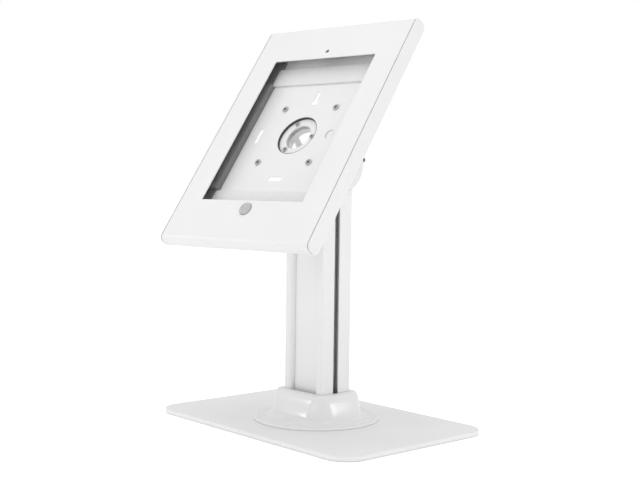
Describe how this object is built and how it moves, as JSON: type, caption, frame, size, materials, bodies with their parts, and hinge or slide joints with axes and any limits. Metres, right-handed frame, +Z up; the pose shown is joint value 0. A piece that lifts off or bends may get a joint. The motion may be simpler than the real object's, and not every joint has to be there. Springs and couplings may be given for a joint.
{
  "type": "tablet stand",
  "caption": "Desk stand for a tablet: a lockable steel enclosure on a swivel, tilt and rotation head, on a slotted pole with a flat plate base.",
  "frame": {"origin": "middle of the base's underside, on the pole's axis", "axes": "+Z up the pole, -Y towards the front of the base, +X to its right as seen by a person in front"},
  "size_m": [0.326, 0.2593, 0.45],
  "materials": {
    "white_powder_coat": "fine white powder coat, satin",
    "white_gloss_plastic": "moulded white plastic, gloss",
    "zinc_steel": "zinc-plated steel",
    "bright_hub_steel": "turned steel, satin",
    "black_oxide_steel": "dark oxide finish",
    "dark_rubber": "matte friction material",
    "dark_foam": "dark closed-cell foam, matte",
    "light_foam": "light grey foam, matte",
    "satin_button": "satin grey"
  },
  "bodies": {
    "base": {"base_foam_pad": "dark_foam", "base_plate": "white_powder_coat", "base_cover": "white_gloss_plastic", "pole": "white_powder_coat", "pole_front_panel": "white_powder_coat", "pole_foot_screws": "zinc_steel", "pole_top_cap": "white_gloss_plastic", "top_cap_screws": "zinc_steel", "swivel_tube": "zinc_steel", "swivel_washer": "dark_rubber", "swivel_nut": "zinc_steel"},
    "swivel_head": {"tilt_yoke": "white_powder_coat", "tilt_axle": "zinc_steel", "axle_end_cap": "white_gloss_plastic", "axle_nut": "zinc_steel", "clutch_plates": "zinc_steel", "clutch_cover": "white_gloss_plastic", "tilt_lock_screw": "black_oxide_steel", "arm_washers": "dark_rubber"},
    "tilt_arm": {"tilt_bracket": "white_powder_coat", "rotation_hub": "bright_hub_steel", "hub_disc": "white_powder_coat", "hub_screws": "zinc_steel", "rotation_washer": "dark_rubber"},
    "enclosure": {"vesa_plate": "white_powder_coat", "hub_wear_ring": "dark_rubber", "vesa_screws": "zinc_steel", "rear_casing": "white_powder_coat", "top_pad": "light_foam", "bottom_pad": "light_foam", "left_foam_strip": "dark_foam", "right_foam_strip": "dark_foam", "hinge_pins": "zinc_steel", "lock_barrel": "zinc_steel", "lock_nut": "zinc_steel"},
    "lock": {"lock_plug": "zinc_steel", "lock_cam": "zinc_steel", "lock_cam_screw": "zinc_steel"},
    "front_door": {"front_cover": "white_powder_coat", "camera_gasket": "dark_foam", "hinge_lugs": "white_powder_coat", "lock_striker": "white_powder_coat"},
    "button": {"home_button": "satin_button"}
  },
  "joints": [
    {"name": "swivel", "type": "hinge", "parent": "base", "child": "swivel_head", "pos_m": [0, 0, 0.26], "axis": [0, 0, 1], "range_deg": [-97.6, 82.4]},
    {"name": "tilt", "type": "hinge", "parent": "swivel_head", "child": "tilt_arm", "pos_m": [0, 0, 0.2945], "axis": [0.9912, 0.1323, 0], "range_deg": [-39.3, 35.7]},
    {"name": "hub_rotation", "type": "hinge", "parent": "tilt_arm", "child": "enclosure", "pos_m": [0.00456, -0.03421, 0.3193], "axis": [-0.1074, 0.8049, -0.5835], "range_deg": [-90, 90]},
    {"name": "cover_hinge", "type": "hinge", "parent": "enclosure", "child": "front_door", "pos_m": [0.01711, -0.12826, 0.20954], "axis": [0.9912, 0.1323, 0], "range_deg": [0, 95]},
    {"name": "lock_turn", "type": "hinge", "parent": "enclosure", "child": "lock", "pos_m": [0.06509, 0.04143, 0.42449], "axis": [0.1074, -0.8049, 0.5835], "range_deg": [0, 90]},
    {"name": "home_button_press", "type": "slide", "parent": "front_door", "child": "button", "axis": [-0.1074, 0.8049, -0.5835], "range_m": [0, 0.0012], "stiffness_N_per_m": 400, "springref_m": -0.0005}
  ]
}
